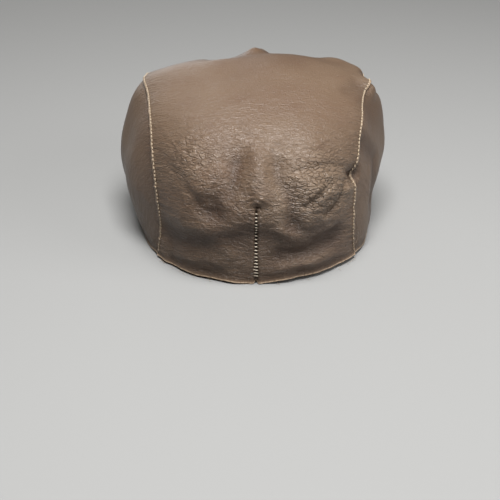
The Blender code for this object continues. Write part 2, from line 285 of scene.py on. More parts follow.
shell = Dome(CENTRE_LINE, crown_front, 2)
lining_shell = Dome(LINING_CENTRE_LINE, lining_front, 1)


# ---------------------------------------------------------------- leather relief

SEAM_LENGTH = seam_line.length
CROWN_LENGTH = shell.centre_line.length

# Folds of the crown: name, height (negative for a hollow), half-width, and its path as (across, run) points:
# across is measured from the middle towards the wearer's left, run up the middle from the back hem.
HOLLOW_PATH = [(0.064, 0.028), (0.034, 0.030), (0.004, 0.042), (-0.030, 0.040), (-0.056, 0.030)]
PINCH_CREASE_PATH = [(-0.068, 0.090), (-0.056, 0.096), (-0.042, 0.094), (-0.028, 0.092)]
CROWN_FOLDS = [
    ("ridge over the dart", 0.0030, 0.0090, [(-0.001, 0.100), (-0.001, 0.080)]),
    ("top of the ridge", 0.0015, 0.0120, [(0.000, 0.118), (-0.001, 0.094)]),
    ("knob at the dart's tip", 0.0026, 0.0048, [(-0.001, 0.0722)]),
    ("left valley", -0.0050, 0.0084, [(0.014, 0.098), (0.019, 0.082), (0.029, 0.060)]),
    ("right valley", -0.0044, 0.0076, [(-0.014, 0.095), (-0.020, 0.076), (-0.028, 0.052)]),
    ("left inner fold", 0.0016, 0.0050, [(0.024, 0.090), (0.022, 0.070)]),
    ("fold across the left lobe", -0.0014, 0.0050, [(0.031, 0.097), (0.045, 0.079), (0.036, 0.060)]),
    ("left lobe", 0.0044, 0.022, [(0.040, 0.112), (0.036, 0.082)]),
    ("right lobe", 0.0044, 0.021, [(-0.038, 0.110), (-0.036, 0.082)]),
    ("hollow above the hem", -0.0036, 0.0120, HOLLOW_PATH),
    ("left fold above the hem", 0.0012, 0.0080, [(0.052, 0.052), (0.030, 0.040), (0.016, 0.026)]),
    ("right fold above the hem", 0.0018, 0.0055, [(-0.018, 0.046), (-0.036, 0.034), (-0.054, 0.040)]),
    ("crease above the right hem", -0.0014, 0.0040, [(-0.014, 0.030), (-0.034, 0.022), (-0.056, 0.024)]),
    ("tuck of the hem", -0.0024, 0.007, [(0.060, 0.002), (0.026, 0.003)]),
    ("right tuck of the hem", -0.0018, 0.006, [(-0.060, 0.001), (-0.026, 0.001)]),
    ("hollow over the right lip", -0.0030, 0.0075, [(-0.014, 0.022), (-0.034, 0.025), (-0.056, 0.033)]),
    ("right lip", 0.0015, 0.0060, [(-0.018, 0.008), (-0.052, 0.016)]),
    ("pinch on the right seam", -0.0058, 0.0065, [(-0.071, 0.089)]),
    ("crease left of the pinch", -0.0024, 0.0034, PINCH_CREASE_PATH),
    ("crease under the pinch", -0.0022, 0.0032, [(-0.064, 0.084), (-0.060, 0.070), (-0.050, 0.060)]),
    ("roll under the pinch", 0.0018, 0.0050, [(-0.068, 0.078), (-0.052, 0.080), (-0.038, 0.078)]),
    ("short crease", -0.0016, 0.0028, [(-0.050, 0.084), (-0.040, 0.076), (-0.034, 0.066)]),
    ("left fold", -0.0010, 0.0060, [(0.060, 0.098), (0.050, 0.084), (0.044, 0.066)]),
    ("lower left fold", -0.0008, 0.0040, [(0.036, 0.070), (0.044, 0.056), (0.056, 0.050)]),
    ("slump of the top", -0.0056, 0.032, [(0.064, 0.258), (0.020, 0.262), (-0.036, 0.258)]),
    ("lump on top", 0.0052, 0.010, [(0.003, 0.246), (-0.001, 0.285)]),
    ("dip beside the lump", -0.0044, 0.013, [(0.033, 0.290), (0.029, 0.236)]),
    ("right dip beside the lump", -0.0020, 0.009, [(-0.018, 0.290), (-0.016, 0.250)]),
    ("shallow middle of the top", -0.0012, 0.016, [(0.016, 0.200), (0.010, 0.170)]),
    ("right shoulder fold", -0.0014, 0.0070, [(-0.066, 0.178), (-0.078, 0.192)]),
    ("flip of the right shoulder", 0.0040, 0.0080, [(-0.089, 0.200)]),
    ("notch behind the right shoulder", -0.0090, 0.0085, [(-0.092, 0.222), (-0.090, 0.256)]),
    ("step behind the notch", 0.0020, 0.0080, [(-0.062, 0.240), (-0.070, 0.262)]),
    ("front left slope", -0.0020, 0.018, [(0.030, 0.290), (0.040, 0.330)]),
    ("front right slope", -0.0024, 0.016, [(-0.026, 0.300), (-0.044, 0.340)]),
    ("front middle swell", 0.0024, 0.024, [(0.004, 0.300), (0.000, 0.350)]),
]
# Folds of the sides: name, height, half-width, side (1 left, -1 right), and its path as (down, along) shares.
SIDE_FOLDS = [
    ("left side swell", 0.0058, 0.030, 1, [(0.48, 0.30), (0.56, 0.60)]),
    ("right side sag", -0.0034, 0.030, -1, [(0.16, 0.45), (0.30, 0.50)]),
    ("right side sink", -0.0040, 0.020, -1, [(0.72, 0.30), (0.72, 0.50)]),
    ("right side crease", -0.0030, 0.008, -1, [(0.10, 0.30), (0.40, 0.33), (0.62, 0.28)]),
]
DART_TIP_RUN = 0.0655
GROOVE_DEPTH = 0.0020
RIM_RISE_LEFT = 0.0014
RIM_RISE_RIGHT = 0.0030


def on_crown(across, run):
    v = np.asarray(run) / CROWN_LENGTH
    return shell.surface(np.asarray(across) / seam_line(v)[..., 0], v)


def distance_to_path(points, path):
    """How far each point is from a polyline."""
    if len(path) == 1:
        return np.linalg.norm(points - path[0], axis=1)
    nearest = np.full(len(points), np.inf)
    for a, b in zip(path, path[1:]):
        along = b - a
        t = np.clip((points - a) @ along / (along @ along), 0.0, 1.0)
        nearest = np.minimum(nearest, np.linalg.norm(points - a - t[:, None] * along, axis=1))
    return nearest


def all_folds():
    """Every fold as (height, half-width, path of points)."""
    folds = []
    for _, height, width, path in CROWN_FOLDS:
        folds.append((height, width, on_crown(*np.array(path).T)[0]))
    for _, height, width, side, path in SIDE_FOLDS:
        down, along = np.array(path).T
        folds.append((height, width, shell.surface(side * (1 + down), along)[0]))
    return folds


FOLDS = all_folds()


def ripple(points, size, seed):
    """Smooth noise from -1 to 1 at each point; size is that of its swells, one number or one per axis."""
    scaled = np.asarray(points) / np.asarray(size) + seed
    return np.array([noise.noise(Vector(p)) for p in scaled])


def broad_relief(points):
    """The soft folds and swells, which the lining shares with the leather."""
    points = points.reshape(-1, 3)
    wander = np.stack([ripple(points, 0.022, seed) for seed in (3.1, 7.7, 12.3)], axis=1) * 0.004
    strayed = points + wander
    height = ripple(points, 0.055, 21.0) * 0.0016 + ripple(points, 0.026, 33.0) * 0.0007
    for fold_height, width, path in FOLDS:
        height += fold_height * np.exp(-((distance_to_path(strayed, path) / width) ** 2))
    return height


def fine_relief(u, v, points):
    """Creases and puckers of the leather: stretched wrinkles, drawn seams, and arcs round the dart's tip."""
    points = points.reshape(-1, 3)
    seam_x = seam_line(v)[:, 0]
    across = np.abs(u) * seam_x
    run = v * CROWN_LENGTH
    on_back = ease((0.44 - v) / 0.2)
    off_seam = np.abs(np.abs(u) - 1) * seam_x
    crown_side = np.where(np.abs(u) <= 1, 1.0, 0.35)
    plane = xyz(np.sign(u) * across, run, 0.0)
    strayed = plane + xyz(0.0, ripple(plane, 0.012, 5.0) * 0.003, 0.0)
    wrinkle = -np.abs(ripple(strayed, (0.013, 0.0042, 1.0), 9.0)) * 2 + 0.5
    swell = ripple(strayed, (0.010, 0.006, 1.0), 14.0)
    near_seam = np.exp(-off_seam / 0.007)
    pucker = ripple(xyz(across, run * SEAM_LENGTH / CROWN_LENGTH, 0.0), (0.020, 0.0026, 1.0), 2.0)
    low = ease((0.070 - run) / 0.03)
    height = wrinkle * (0.00016 * (0.35 + 0.65 * on_back) + 0.00010 * low) + swell * 0.00022 * (0.4 + on_back)
    height += pucker * 0.00050 * near_seam * crown_side
    height += 0.0004 * ease((0.0016 - off_seam) / 0.0008) * (np.abs(u) <= 1)
    tip = np.hypot(plane[:, 0], plane[:, 1] - DART_TIP_RUN)
    arcs = np.sin(tip * (2 * math.pi / 0.0037) + 2.2 * ripple(plane, 0.009, 4.0))
    height += arcs * 0.00023 * np.exp(-((tip / 0.024) ** 2)) * ease(tip / 0.004)
    slack = np.exp(-(((plane[:, 0] + 0.044) / 0.024) ** 2) - ((run - 0.078) / 0.026) ** 2)
    slack += 0.55 * np.exp(-(((plane[:, 0] - 0.046) / 0.018) ** 2) - ((run - 0.100) / 0.020) ** 2)
    cells = crease_net(plane, (0.0085, 0.0060))
    height += (cells - 0.4) * 0.00090 * slack
    return height, slack, near_seam


def crease_net(plane, size):
    """0 along the edges of a net of uneven cells, to 1 inside them."""
    strayed = plane + xyz(ripple(plane, 0.010, 40.0), ripple(plane, 0.010, 44.0), 0.0) * 0.0022
    scaled = strayed / np.array([size[0], size[1], 1.0])
    nearest = [noise.voronoi(Vector(p))[0] for p in scaled]
    return ease(np.array([(d[1] - d[0]) * 2.2 for d in nearest]))


def dart_relief(u, v):
    """The groove of the dart, its drawn lips, and the pit at its tip."""
    across = u * seam_line(v)[:, 0]
    run = v * CROWN_LENGTH
    below_tip = ease((DART_TIP_RUN + 0.001 - run) / 0.004)
    opening = lerp(0.00075, 0.00115, ease((0.030 - run) / 0.03))
    groove = -GROOVE_DEPTH * np.exp(-((across / opening) ** 2)) * below_tip
    lips = 0.0004 * np.exp(-(((np.abs(across) - 0.0026) / 0.0014) ** 2)) * below_tip
    past_tip = run - DART_TIP_RUN
    pit = -0.0021 * np.exp(-(((across + 0.0006) / 0.0021) ** 2) - ((past_tip - 0.0008) / 0.0008) ** 2)
    pit -= 0.0006 * np.exp(-((across / 0.0018) ** 2) - ((past_tip + 0.002) / 0.003) ** 2)
    draw = -0.0010 * np.exp(-((across / 0.012) ** 2)) * ease((DART_TIP_RUN - run) / 0.02)
    # The second value, how deep the groove and pit are, is painted as shade into the leather's colour.
    return groove + lips + pit + draw, np.maximum(-groove / GROOVE_DEPTH, (pit / 0.0022) ** 2)


def rim_rise(points):
    """The back rim hangs a little lower at the dart and at its corners than between them."""
    x, y, z = points.T
    most = lerp(RIM_RISE_LEFT, RIM_RISE_RIGHT, ease((0.02 - x) / 0.04))
    between = (1 - np.exp(-((x / 0.014) ** 2))) * ease((y - 0.035) / 0.03)
    return most * between * (1 - ease(z / 0.035))


def leather(u, v, depth=0.0):
    """Points of the finished leather, their outward normals, and the marks that its finish reads."""
    rest, normals = shell.surface(u, v)
    broad = broad_relief(rest)
    fine, slack, near_seam = fine_relief(u, v, rest)
    dart, slot_depth = dart_relief(u, v)
    height = broad + fine + np.where(np.abs(u) < 0.5, dart, 0.0)
    visor_end = ease((v - 0.90) / 0.08) * (np.abs(u) <= 1)
    height *= 1 - visor_end
    points = rest + normals * (height - depth)[:, None]
    points[:, 2] += rim_rise(points)
    # This mark paints shade into the colour: darker in the broad hollows, near black down the dart's groove
    # and in the pit at its tip.
    hollow = np.clip(-broad / 0.004, -1.0, 1.0) + 1.4 * slot_depth * (np.abs(u) < 0.5)
    worked = 0.22 + 0.78 * ease((0.165 - v * CROWN_LENGTH) / 0.08) * np.where(np.abs(u) <= 1, 1.0, 0.4)
    return points, normals, {"slack": slack, "near_seam": near_seam, "hollow": hollow, "worked": worked}


# ---------------------------------------------------------------- finishes

class Finish:
    """A material under construction, with short calls for its nodes."""

    def __init__(self, name):
        self.material = bpy.data.materials.new(name)
        self.material.use_nodes = True
        self.tree = self.material.node_tree
        self.shader = self.tree.nodes["Principled BSDF"]

    def put(self, socket, value):
        if isinstance(value, bpy.types.NodeSocket):
            self.tree.links.new(value, socket)
        else:
            socket.default_value = value

    def node(self, kind, settings=None, **inputs):
        made = self.tree.nodes.new(kind)
        for key, value in (settings or {}).items():
            setattr(made, key, value)
        for key, value in inputs.items():
            name = key.replace("_", " ")
            self.put(made.inputs[int(name[1:])] if name[1:].isdigit() else made.inputs[name], value)
        return made

    def coordinates(self, stretch=(1.0, 1.0, 1.0), uv=True):
        if uv:
            source = self.node("ShaderNodeUVMap", {"uv_map": "leather_run"}).outputs[0]
        else:
            source = self.node("ShaderNodeTexCoord").outputs["Object"]
        return self.node("ShaderNodeMapping", Vector=source, Scale=stretch).outputs[0]

    def noise(self, where, scale, detail=3.0, rough=0.5, distortion=0.0):
        made = self.node("ShaderNodeTexNoise", Vector=where, Scale=scale, Detail=detail, Roughness=rough)
        made.inputs["Distortion"].default_value = distortion
        return made.outputs["Fac"]

    def cells(self, where, scale, feature="F1"):
        made = self.node("ShaderNodeTexVoronoi", {"feature": feature}, Vector=where, Scale=scale)
        return made.outputs["Distance"]

    def bands(self, where, direction, scale, distortion, detail=2.0):
        made = self.node("ShaderNodeTexWave", {"bands_direction": direction}, Vector=where, Scale=scale)
        made.inputs["Distortion"].default_value = distortion
        made.inputs["Detail"].default_value = detail
        return made.outputs["Fac"]

    def math(self, operation, a, b, c=0.0):
        return self.node("ShaderNodeMath", {"operation": operation}, i0=a, i1=b, i2=c).outputs[0]

    def span(self, value, low, high, to_low=0.0, to_high=1.0):
        """value brought from the span low..high to to_low..to_high, and held there."""
        ends = {"From_Min": low, "From_Max": high, "To_Min": to_low, "To_Max": to_high}
        return self.node("ShaderNodeMapRange", Value=value, **ends).outputs[0]

    def blend(self, share, a, b):
        made = self.node("ShaderNodeMix", {"data_type": "RGBA"})
        self.put(made.inputs[0], share)
        self.put(made.inputs[6], a)
        self.put(made.inputs[7], b)
        return made.outputs[2]

    def painted(self, name):
        return self.node("ShaderNodeAttribute", {"attribute_name": name}).outputs["Fac"]

    def bump(self, height, distance, strength=1.0, under=None):
        made = self.node("ShaderNodeBump", Height=height, Distance=distance, Strength=strength)
        if under is not None:
            self.put(made.inputs["Normal"], under)
        return made.outputs[0]

    def done(self, colour, roughness, normal=None, **constants):
        for socket, value in (("Base Color", colour), ("Roughness", roughness), ("Normal", normal)):
            if value is not None:
                self.put(self.shader.inputs[socket], value)
        for key, value in constants.items():
            self.shader.inputs[key.replace("_", " ")].default_value = value
        return self.material


def srgb(red, green, blue):
    """A colour given as 0 to 255 levels."""
    levels = [c / 255 for c in (red, green, blue)]
    return tuple(c / 12.92 if c <= 0.04045 else ((c + 0.055) / 1.055) ** 2.4 for c in levels) + (1.0,)


BROWN = srgb(104, 83, 66)
LIGHT_BROWN = srgb(115, 96, 78)
WARM_BROWN = srgb(92, 66, 50)
# The next three colours: painted shade for creases and hollows, wear with a painted highlight for crease
# tops, and near-black painted shade for the dart's groove and pit.
PAINTED_SHADE_BROWN = srgb(58, 40, 30)
WORN_AND_HIGHLIT_BROWN = srgb(138, 119, 101)
SLOT_SHADE_BLACK = srgb(26, 17, 12)
RAW_EDGE = srgb(196, 172, 146)
SUEDE = srgb(150, 122, 96)
THREAD_TAN = srgb(206, 186, 158)


def leather_finish(name, creased=True):
    """Thin garment leather: cross wrinkles, fine pores, and creases with painted shade at their bottoms, wear
    and a painted highlight on their tops, and painted shade in the hollows.
    """
    f = Finish(name)
    where = f.coordinates()
    stray = f.noise(f.coordinates((26.0, 26.0, 1.0)), 1.0, 2.0)
    wrinkle = f.noise(f.coordinates((110.0, 190.0, 1.0)), 1.0, 5.0, 0.58, 1.2)
    streak = f.noise(f.coordinates((60.0, 330.0, 1.0)), 1.0, 3.0, 0.55, 0.8)
    pores = f.cells(where, 620.0)
    net = f.cells(f.coordinates((125.0, 190.0, 1.0)), 1.0, "DISTANCE_TO_EDGE")
    crease = f.span(net, 0.0, 0.16)
    drawn = f.painted("near_seam")
    slack = f.painted("slack")
    ridges = f.math("MULTIPLY", f.math("SUBTRACT", streak, 0.5), f.math("MULTIPLY_ADD", drawn, 1.5, 0.4))
    worked = f.math("MULTIPLY_ADD", f.painted("worked"), 1.6, 0.1)
    height = f.math("MULTIPLY_ADD", f.math("SUBTRACT", wrinkle, 0.5), worked, ridges)
    height = f.math("MULTIPLY_ADD", f.math("MULTIPLY", crease, slack), 0.8 if creased else 0.2, height)
    normal = f.bump(height, 0.0011)
    normal = f.bump(pores, 0.00022, 0.7, normal)
    tone = f.noise(f.coordinates((5.0, 6.0, 1.0)), 1.0, 3.0)
    colour = f.blend(f.span(tone, 0.35, 0.7), BROWN, LIGHT_BROWN)
    # Lighter on the tops of the fine creases: wear, and a painted highlight.
    colour = f.blend(f.span(height, 0.05, 0.5, 0.0, 0.55), colour, WORN_AND_HIGHLIT_BROWN)
    # Painted shade at the bottoms of the fine creases.
    colour = f.blend(f.span(height, -0.10, -0.55, 0.0, 0.75), colour, PAINTED_SHADE_BROWN)
    # Painted shade in the hollows of the broad folds.
    colour = f.blend(f.span(f.painted("hollow"), 0.15, 1.0, 0.0, 0.55), colour, PAINTED_SHADE_BROWN)
    colour = f.blend(f.span(stray, 0.55, 0.75, 0.0, 0.2), colour, WARM_BROWN)
    # Painted shade: the dart's groove and the pit at its tip near black.
    colour = f.blend(f.span(f.painted("hollow"), 1.1, 1.7, 0.0, 0.9), colour, SLOT_SHADE_BLACK)
    frayed = f.noise(f.coordinates(uv=False), 700.0, 3.0, 0.7)
    bare = f.math("MULTIPLY", f.painted("cut_edge"), f.span(frayed, 0.35, 0.55))
    colour = f.blend(bare, colour, RAW_EDGE)
    rough = f.span(height, -0.4, 0.5, 0.46, 0.31)
    return f.done(colour, rough, normal, Specular_IOR_Level=0.6)


def raw_edge_finish():
    """Where the leather is cut: pale, fibrous and dry."""
    f = Finish("raw_cut_leather")
    where = f.coordinates(uv=False)
    fibre = f.noise(where, 900.0, 4.0, 0.7)
    patch = f.noise(where, 120.0, 2.0)
    colour = f.blend(f.span(fibre, 0.35, 0.7), srgb(128, 98, 70), RAW_EDGE)
    colour = f.blend(f.span(patch, 0.5, 0.7, 0.0, 0.6), colour, srgb(112, 84, 62))
    return f.done(colour, 0.85, f.bump(fibre, 0.0003), Specular_IOR_Level=0.25)


def suede_finish():
    """The leather's flesh side."""
    f = Finish("suede_flesh_side")
    where = f.coordinates(uv=False)
    nap = f.noise(where, 1400.0, 3.0, 0.65)
    patch = f.noise(where, 45.0, 3.0)
    colour = f.blend(f.span(patch, 0.35, 0.65), srgb(132, 104, 80), SUEDE)
    colour = f.blend(f.span(nap, 0.4, 0.7, 0.0, 0.5), colour, srgb(168, 142, 114))
    return f.done(colour, 0.92, f.bump(nap, 0.0003), Specular_IOR_Level=0.2, Sheen_Weight=0.3)


def darkened(colour, share):
    return tuple(c * share for c in colour[:3]) + (1.0,)


def thread_finish(name="waxed_tan_thread", colour=THREAD_TAN):
    """Twisted thread, dirtied a little along its length."""
    f = Finish(name)
    where = f.coordinates(uv=False)
    twist = f.noise(where, 2600.0, 2.0)
    shade = f.noise(where, 160.0, 2.0)
    mixed = f.blend(f.span(twist, 0.35, 0.65), darkened(colour, 0.62), colour)
    mixed = f.blend(f.span(shade, 0.5, 0.75, 0.0, 0.4), mixed, srgb(150, 122, 92))
    return f.done(mixed, 0.6, f.bump(twist, 0.0002), Sheen_Weight=0.2)


def satin_finish(name, base):
    """Woven satin: long floats that catch the light, over a dense weave."""
    f = Finish(name)
    floats = f.noise(f.coordinates((300.0, 1500.0, 1.0)), 1.0, 2.0)
    weave = f.bands(f.coordinates(), "DIAGONAL", 520.0, 0.4, 1.0)
    slub = f.noise(f.coordinates((40.0, 9.0, 1.0)), 1.0, 3.0)
    lighter = tuple(min(c * 1.5, 1.0) for c in base[:3]) + (1.0,)
    colour = f.blend(f.span(floats, 0.35, 0.65), base, lighter)
    colour = f.blend(f.span(slub, 0.45, 0.75, 0.0, 0.35), colour, darkened(base, 0.6))
    height = f.math("MULTIPLY_ADD", weave, 0.6, floats)
    return f.done(colour, 0.38, f.bump(height, 0.00012), Sheen_Weight=0.35, Anisotropic=0.3)


def band_finish():
    """Smooth sheepskin of the sweatband, darkened a little where it is handled, with painted shade along its
    creases.
    """
    f = Finish("sweatband_sheepskin")
    where = f.coordinates(uv=False)
    grain = f.cells(where, 900.0)
    crease = f.noise(f.coordinates((60.0, 60.0, 240.0), uv=False), 1.0, 4.0, 0.6)
    stain = f.noise(where, 28.0, 3.0)
    colour = f.blend(f.span(stain, 0.4, 0.7), srgb(150, 116, 82), srgb(126, 92, 62))
    # Painted shade along the bottoms of the creases.
    colour = f.blend(f.span(crease, 0.3, 0.42, 0.5, 0.0), colour, srgb(92, 64, 42))
    height = f.math("MULTIPLY_ADD", grain, 0.4, crease)
    return f.done(colour, f.span(stain, 0.3, 0.7, 0.55, 0.42), f.bump(height, 0.0004))


def woven_finish(name, base):
    """Plain woven tape or cloth."""
    f = Finish(name)
    where = f.coordinates(uv=False)
    weave = f.math("MAXIMUM", f.bands(where, "X", 900.0, 0.3), f.bands(where, "Z", 900.0, 0.3))
    tone = f.noise(where, 200.0, 3.0)
    darker = darkened(base, 0.55)
    colour = f.blend(f.span(weave, 0.3, 0.9), darker, base)
    colour = f.blend(f.span(tone, 0.45, 0.75, 0.0, 0.3), colour, darker)
    return f.done(colour, 0.88, f.bump(weave, 0.0002), Sheen_Weight=0.2)


def board_finish():
    """Pressed fibreboard of the visor's stiffener."""
    f = Finish("visor_fibreboard")
    where = f.coordinates(uv=False)
    fibre = f.noise(where, 500.0, 5.0, 0.7)
    flecks = f.cells(where, 380.0)
    colour = f.blend(f.span(fibre, 0.35, 0.7), srgb(120, 112, 100), srgb(158, 150, 136))
    colour = f.blend(f.span(flecks, 0.0, 0.25, 0.5, 0.0), colour, srgb(92, 84, 74))
    return f.done(colour, 0.85, f.bump(fibre, 0.0003))


# ---------------------------------------------------------------- making pieces

UV_SPAN = 0.5
UNDER_THE_CAP = Vector((0.0, 0.0, -0.06))


def grid(name, us, vs):
    """A flat grid's mesh, and the u and v that each of its points stands for."""
    made = bpy.data.meshes.new(name)
    flat = bmesh.new()
    bmesh.ops.create_grid(flat, x_segments=len(us) - 1, y_segments=len(vs) - 1, size=1.0)
    flat.to_mesh(made)
    flat.free()
    corners = np.empty(len(made.vertices) * 3)
    made.vertices.foreach_get("co", corners)
    corners = corners.reshape(-1, 3)
    column = np.rint((corners[:, 0] + 1) / 2 * (len(us) - 1)).astype(int)
    row = np.rint((corners[:, 1] + 1) / 2 * (len(vs) - 1)).astype(int)
    return made, np.asarray(us, float)[column], np.asarray(vs, float)[row]


def paint(made, name, values):
    """An attribute of the mesh's points that a finish reads."""
    made.attributes.new(name, "FLOAT", "POINT").data.foreach_set("value", np.asarray(values, float))


def lay_uv(made, flat):
    """The leather_run map: flat is each point's place on its flat pattern, in metres."""
    layer = made.uv_layers.new(name="leather_run")
    loops = np.empty(len(made.loops), int)
    made.loops.foreach_get("vertex_index", loops)
    layer.data.foreach_set("uv", (np.asarray(flat, float)[loops] / UV_SPAN + 0.5).ravel())


def placed(name, data):
    """A new object in the scene, at the origin."""
    thing = bpy.data.objects.new(name, data)
    bpy.context.scene.collection.objects.link(thing)
    return thing


def close_up(made):
    """Merges the points that meet, and turns the faces away from the cap's inside."""
    work = bmesh.new()
    work.from_mesh(made)
    bmesh.ops.remove_doubles(work, verts=work.verts, dist=1e-5)
    work.normal_update()
    outward = 0.0
    for face in work.faces:
        outward += face.normal.dot(face.calc_center_median() - UNDER_THE_CAP) * face.calc_area()
    if outward < 0:
        bmesh.ops.reverse_faces(work, faces=work.faces)
    work.to_mesh(made)
    work.free()


def form(made, points, flat=None, marks=None):
    """Gives a grid its points, its place on the flat pattern and its painted marks, and closes it up."""
    made.vertices.foreach_set("co", points.ravel())
    if flat is not None:
        lay_uv(made, np.stack(flat, axis=1))
    for name, values in (marks or {}).items():
        paint(made, name, values)
    close_up(made)


def piece(made, finishes, nodes, wall=0.0):
    """An object of the mesh that rides on the cap and stands for its CAD nodes."""
    thing = placed(made.name, made)
    made.shade_smooth()
    for finish in finishes:
        made.materials.append(finish)
    if wall:
        solid = thing.modifiers.new("wall", "SOLIDIFY")
        solid.thickness = wall
        solid.offset = -1
        solid.use_even_offset = False
        solid.material_offset = min(1, len(finishes) - 1)
        solid.material_offset_rim = min(2, len(finishes) - 1)
    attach(thing, "root")
    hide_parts(*nodes)
    return thing


def stations(*stretches):
    """Stations along a line: each stretch is (from, to, largest step)."""
    found = []
    for low, high, step in stretches:
        count = max(int(math.ceil((high - low) / step)), 1)
        found.extend(np.linspace(low, high, count + 1)[:-1])
    return np.array(found + [stretches[-1][1]])


# ---------------------------------------------------------------- crown and sides

SIDES = (("left", 1), ("right", -1))
RUN_MIDDLE = 0.2
HEM_ROWS = [0.4, 0.65, 0.85, 1.0]


def hem_drop(points, into_hem):
    """Brings the hem's rows down to the rim, whose cut edge wavers a little."""
    waver = 0.0004 + 0.0008 * np.abs(ripple(points, 0.009, 61.0))
    waver += 0.0004 * np.abs(ripple(points, 0.0035, 67.0))
    waver += rim_rise(points * np.array([1.0, 1.0, 0.0]))
    points[:, 2] = lerp(points[:, 2], np.minimum(waver, points[:, 2]), into_hem)
    points[:, :2] += unit(points[:, :2]) * (0.0008 * into_hem**2)[:, None]
    return points


def crown_leather(finishes):
    """The centre panel. Its rows and columns are closest at the dart and its tip."""
    edge = BACK_CORNER[0]
    half = stations(
        (0.0, 0.0028, 0.00036),
        (0.0028, 0.0064, 0.0006),
        (0.0064, edge - 0.003, 0.00145),
        (edge - 0.003, edge, 0.0005),
    )
    us = np.concatenate((-half[:0:-1], half)) / edge
    runs = stations(
        (0.0, 0.060, 0.00115),
        (0.060, 0.076, 0.0006),
        (0.076, 0.150, 0.00115),
        (0.150, 0.270, 0.0018),
        (0.270, CROWN_LENGTH, 0.0025),
    )
    vs = np.concatenate((-np.array(HEM_ROWS[::-1]), runs / CROWN_LENGTH))
    made, u, v = grid("crown_leather", us, vs)
    inside = np.clip(v, 0.0, 1.0)
    trim = ripple(xyz(np.sign(u), inside * 30.0, 0.0), 1.0, 81.0) * 0.006 * ease((np.abs(u) - 0.95) / 0.05)
    points, _, marks = leather(u * (1 + trim), inside)
    points = hem_drop(points, np.clip(-v, 0.0, 1.0))
    notch = 0.0022 * np.exp(-((points[:, 0] / 0.0009) ** 2)) * ease((0.004 - inside * CROWN_LENGTH) / 0.004)
    points[:, 2] += notch
    seam_x = seam_line(inside)[:, 0]
    to_seam = (1 - np.abs(u)) * seam_x
    marks["cut_edge"] = np.maximum(ease((-0.6 - v) / 0.2), ease((0.0012 - to_seam) / 0.0005) * 0.85)
    form(made, points, (u * seam_x, inside * CROWN_LENGTH - RUN_MIDDLE), marks)
    thing = piece(made, finishes, ["crown_panel"], LEATHER)


def side_leather(word, side, finishes):
    lapped = np.linspace(1.0 - LAP_SHARE, 1.0, 5)[:-1]
    us = np.concatenate((lapped, np.linspace(1.0, 2.0, 66), 2.0 + np.array(HEM_ROWS)))
    made, u, v = grid("side_leather_" + word, us, np.linspace(0.0, 1.0, 190))
    inside = np.minimum(u, 2.0)
    points, _, marks = leather(side * inside, v, SIDE_DEPTH)
    points = hem_drop(points, np.clip(u - 2.0, 0.0, 1.0))
    marks["cut_edge"] = ease((u - 2.6) / 0.2)
    form(made, points, (0.02 + (inside - 1.0) * 0.12, v * SEAM_LENGTH - RUN_MIDDLE), marks)
    thing = piece(made, finishes, ["side_panel_" + word], LEATHER)


# ---------------------------------------------------------------- sewing

STITCH_RADIUS = 0.00042
SEAM_STITCH_INSET = 0.0013
BAND_STITCH_RISE = 0.0030
LACING_BARS = 20


def evenly(points, normals, pitch):
    """Points a pitch apart along a path, with their normals and directions."""
    lengths = np.concatenate(([0.0], np.cumsum(np.linalg.norm(np.diff(points, axis=0), axis=1))))
    count = int(lengths[-1] / pitch)
    at = (np.arange(count) + 0.5) * pitch

    def pick(values, where):
        return np.stack([np.interp(where, lengths, values[:, k]) for k in range(3)], axis=1)

    ways = unit(pick(points, at + pitch * 0.3) - pick(points, at - pitch * 0.3))
    return pick(points, at), unit(pick(normals, at)), ways


def stitch_mesh(name, centres, normals, ways, half_lengths):
    """One short, fat, rounded stitch at each centre, lying along its way."""
    work = bmesh.new()
    for centre, normal, way, half in zip(centres, normals, ways, half_lengths):
        way = unit(way - normal * (way @ normal))
        across = np.cross(normal, way)
        place = np.eye(4)
        place[:3] = np.stack((way * half, across * STITCH_RADIUS, normal * STITCH_RADIUS, centre), axis=1)
        bmesh.ops.create_uvsphere(work, u_segments=8, v_segments=6, radius=1.0, matrix=Matrix(place))
    work.normal_update()
    made = bpy.data.meshes.new(name)
    work.to_mesh(made)
    work.free()
    return made


def stitch_row(name, points, normals, finish, node, pitch=0.0029, length=0.0024):
    """A row of stitches along a path, in place of the given CAD node."""
    centres, outward, ways = evenly(points, normals, pitch)
    jitter = np.array([noise.noise(Vector((k * 1.7, 0.3, 0.9))) for k in range(len(centres))])
    halves = length / 2 * (1 + 0.18 * jitter)
    made = stitch_mesh(name, centres + outward * (STITCH_RADIUS * 0.35), outward, ways, halves)
    piece(made, [finish], [node])


def seam_stitches(word, side, finish):
    v = np.linspace(0.006, 0.955, 500)
    u = side * (1.0 - SEAM_STITCH_INSET / seam_line(v)[:, 0])
    points, normals, _ = leather(u, v)
    stitch_row("seam_stitches_" + word, points, normals, finish, "seam_thread_" + word)


def dart_lacing(finish):
    """Short bars of thread that draw the dart's two edges together, wider towards the hem."""
    bars = np.arange(LACING_BARS)
    share = (bars + 0.35) / LACING_BARS
    run = lerp(0.0035, DART_TIP_RUN - 0.0015, share)
    wobble = np.array([noise.noise(Vector((k * 2.3, 1.1, 4.0))) for k in bars])
    half = lerp(0.0019, 0.0010, ease(share * 1.6)) * (1 + 0.25 * wobble)
    beside_groove = np.full(LACING_BARS, 0.0024 / BACK_CORNER[0])
    centres, normals, _ = leather(beside_groove, run / CROWN_LENGTH)
    centres[:, 0] = 0.0003 * wobble
    centres += normals * 0.0001
    ways = unit(xyz(1.0, 0.0, 0.16 + 0.14 * wobble))
    made = stitch_mesh("dart_lacing", centres, normals, ways, half)
    piece(made, [finish], ["dart_thread"])


